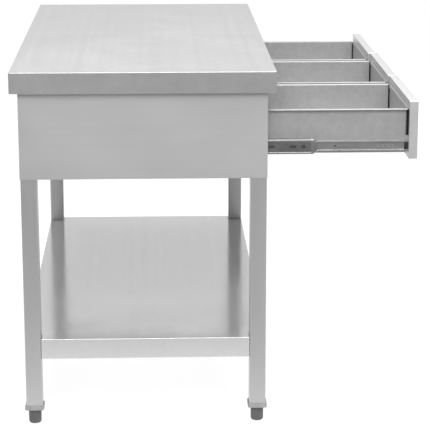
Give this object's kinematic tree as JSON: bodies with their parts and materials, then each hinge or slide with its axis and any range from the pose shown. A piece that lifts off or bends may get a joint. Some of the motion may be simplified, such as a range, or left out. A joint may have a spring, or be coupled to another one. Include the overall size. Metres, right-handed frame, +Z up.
{
  "type": "stainless work table",
  "caption": "Free-standing stainless steel kitchen work table with a folded-edge worktop, sliding drawers on ball-bearing slides, an undershelf and adjustable feet.",
  "frame": {"origin": "centre of the worktop's upper face", "axes": "+X along the table's length, to the right seen from the drawers' side; -Y towards the drawers' side; +Z up"},
  "size_m": [1.2, 0.93, 0.838],
  "materials": {
    "brushed_top": "brushed along the length, satin",
    "brushed_shelf": "brushed along the length, satin",
    "brushed_panel": "brushed along the panel, satin",
    "brushed_tube": "brushed along the tube, satin",
    "brushed_front": "brushed across the front, satin",
    "brushed_drawer": "cold-rolled 2B sheet, soft sheen",
    "galvanised": "galvanised sheet, dull spangle",
    "zinc_steel": "bright zinc plate",
    "cage_steel": "bright steel strip and polished balls",
    "screw_steel": "dark zinc plate",
    "collar_plastic": "moulded, fine texture",
    "foot_plastic": "moulded, slight sheen",
    "bumper_rubber": "moulded rubber, matte"
  },
  "bodies": {
    "root": {"worktop": "brushed_top", "worktop_stiffeners": "galvanised", "undershelf": "brushed_shelf", "undershelf_stiffeners": "galvanised", "leg_collars": "collar_plastic", "housing_side_left": "brushed_panel", "housing_side_right": "brushed_panel", "housing_back": "brushed_panel", "bottom_rail": "brushed_panel", "top_rail": "brushed_panel", "partition_left": "galvanised", "partition_right": "galvanised", "slide_carrier_left": "galvanised", "slide_carrier_right": "galvanised", "frame_screws": "screw_steel", "leg_front_left": "brushed_tube", "leg_front_right": "brushed_tube", "leg_back_left": "brushed_tube", "leg_back_right": "brushed_tube", "drawer_1_slide_outer_left": "zinc_steel", "drawer_1_slide_outer_right": "zinc_steel", "drawer_2_slide_outer_left": "zinc_steel", "drawer_2_slide_outer_right": "zinc_steel", "drawer_3_slide_outer_left": "zinc_steel", "drawer_3_slide_outer_right": "zinc_steel"},
    "foot_front_left": {"foot_front_left": "foot_plastic"},
    "foot_front_right": {"foot_front_right": "foot_plastic"},
    "foot_back_left": {"foot_back_left": "foot_plastic"},
    "foot_back_right": {"foot_back_right": "foot_plastic"},
    "drawer_1_middle": {"drawer_1_slide_middle_left": "zinc_steel", "drawer_1_slide_middle_right": "zinc_steel"},
    "drawer_1": {"drawer_1_box": "brushed_drawer", "drawer_1_front": "brushed_front", "drawer_1_screws": "screw_steel", "drawer_1_bumpers": "bumper_rubber", "drawer_1_slide_inner_left": "zinc_steel", "drawer_1_slide_inner_right": "zinc_steel"},
    "drawer_1_outer_balls": {"drawer_1_outer_cages": "cage_steel"},
    "drawer_1_inner_balls": {"drawer_1_inner_cages": "cage_steel"},
    "drawer_2_middle": {"drawer_2_slide_middle_left": "zinc_steel", "drawer_2_slide_middle_right": "zinc_steel"},
    "drawer_2": {"drawer_2_box": "brushed_drawer", "drawer_2_front": "brushed_front", "drawer_2_screws": "screw_steel", "drawer_2_bumpers": "bumper_rubber", "drawer_2_slide_inner_left": "zinc_steel", "drawer_2_slide_inner_right": "zinc_steel"},
    "drawer_2_outer_balls": {"drawer_2_outer_cages": "cage_steel"},
    "drawer_2_inner_balls": {"drawer_2_inner_cages": "cage_steel"},
    "drawer_3_middle": {"drawer_3_slide_middle_left": "zinc_steel", "drawer_3_slide_middle_right": "zinc_steel"},
    "drawer_3": {"drawer_3_box": "brushed_drawer", "drawer_3_front": "brushed_front", "drawer_3_screws": "screw_steel", "drawer_3_bumpers": "bumper_rubber", "drawer_3_slide_inner_left": "zinc_steel", "drawer_3_slide_inner_right": "zinc_steel"},
    "drawer_3_outer_balls": {"drawer_3_outer_cages": "cage_steel"},
    "drawer_3_inner_balls": {"drawer_3_inner_cages": "cage_steel"}
  },
  "joints": [
    {"name": "foot_front_left_height", "type": "slide", "parent": "root", "child": "foot_front_left", "axis": [0, 0, 1], "range_m": [-0.025, 0]},
    {"name": "foot_front_right_height", "type": "slide", "parent": "root", "child": "foot_front_right", "axis": [0, 0, 1], "range_m": [-0.025, 0]},
    {"name": "foot_back_left_height", "type": "slide", "parent": "root", "child": "foot_back_left", "axis": [0, 0, 1], "range_m": [-0.025, 0]},
    {"name": "foot_back_right_height", "type": "slide", "parent": "root", "child": "foot_back_right", "axis": [0, 0, 1], "range_m": [-0.025, 0]},
    {"name": "drawer_1_middle_slide", "type": "slide", "parent": "root", "child": "drawer_1_middle", "axis": [0, -1, 0], "range_m": [-0.141, 0.084]},
    {"name": "drawer_1_slide", "type": "slide", "parent": "drawer_1_middle", "child": "drawer_1", "axis": [0, -1, 0], "range_m": [-0.207, 0.018]},
    {"name": "drawer_1_outer_balls_roll", "type": "slide", "parent": "root", "child": "drawer_1_outer_balls", "axis": [0, -1, 0], "range_m": [-0.0705, 0.042]},
    {"name": "drawer_1_inner_balls_roll", "type": "slide", "parent": "drawer_1_middle", "child": "drawer_1_inner_balls", "axis": [0, -1, 0], "range_m": [-0.1035, 0.009]},
    {"name": "drawer_2_middle_slide", "type": "slide", "parent": "root", "child": "drawer_2_middle", "axis": [0, -1, 0], "range_m": [-0.138, 0.087]},
    {"name": "drawer_2_slide", "type": "slide", "parent": "drawer_2_middle", "child": "drawer_2", "axis": [0, -1, 0], "range_m": [-0.207, 0.018]},
    {"name": "drawer_2_outer_balls_roll", "type": "slide", "parent": "root", "child": "drawer_2_outer_balls", "axis": [0, -1, 0], "range_m": [-0.069, 0.0435]},
    {"name": "drawer_2_inner_balls_roll", "type": "slide", "parent": "drawer_2_middle", "child": "drawer_2_inner_balls", "axis": [0, -1, 0], "range_m": [-0.1035, 0.009]},
    {"name": "drawer_3_middle_slide", "type": "slide", "parent": "root", "child": "drawer_3_middle", "axis": [0, -1, 0], "range_m": [-0.135, 0.09]},
    {"name": "drawer_3_slide", "type": "slide", "parent": "drawer_3_middle", "child": "drawer_3", "axis": [0, -1, 0], "range_m": [-0.204, 0.021]},
    {"name": "drawer_3_outer_balls_roll", "type": "slide", "parent": "root", "child": "drawer_3_outer_balls", "axis": [0, -1, 0], "range_m": [-0.0675, 0.045]},
    {"name": "drawer_3_inner_balls_roll", "type": "slide", "parent": "drawer_3_middle", "child": "drawer_3_inner_balls", "axis": [0, -1, 0], "range_m": [-0.102, 0.0105]}
  ],
  "couplings": [
    {"joint": "drawer_1_outer_balls_roll", "follows": "drawer_1_middle_slide", "ratio": 0.5},
    {"joint": "drawer_1_inner_balls_roll", "follows": "drawer_1_slide", "ratio": 0.5},
    {"joint": "drawer_2_outer_balls_roll", "follows": "drawer_2_middle_slide", "ratio": 0.5},
    {"joint": "drawer_2_inner_balls_roll", "follows": "drawer_2_slide", "ratio": 0.5},
    {"joint": "drawer_3_outer_balls_roll", "follows": "drawer_3_middle_slide", "ratio": 0.5},
    {"joint": "drawer_3_inner_balls_roll", "follows": "drawer_3_slide", "ratio": 0.5}
  ]
}
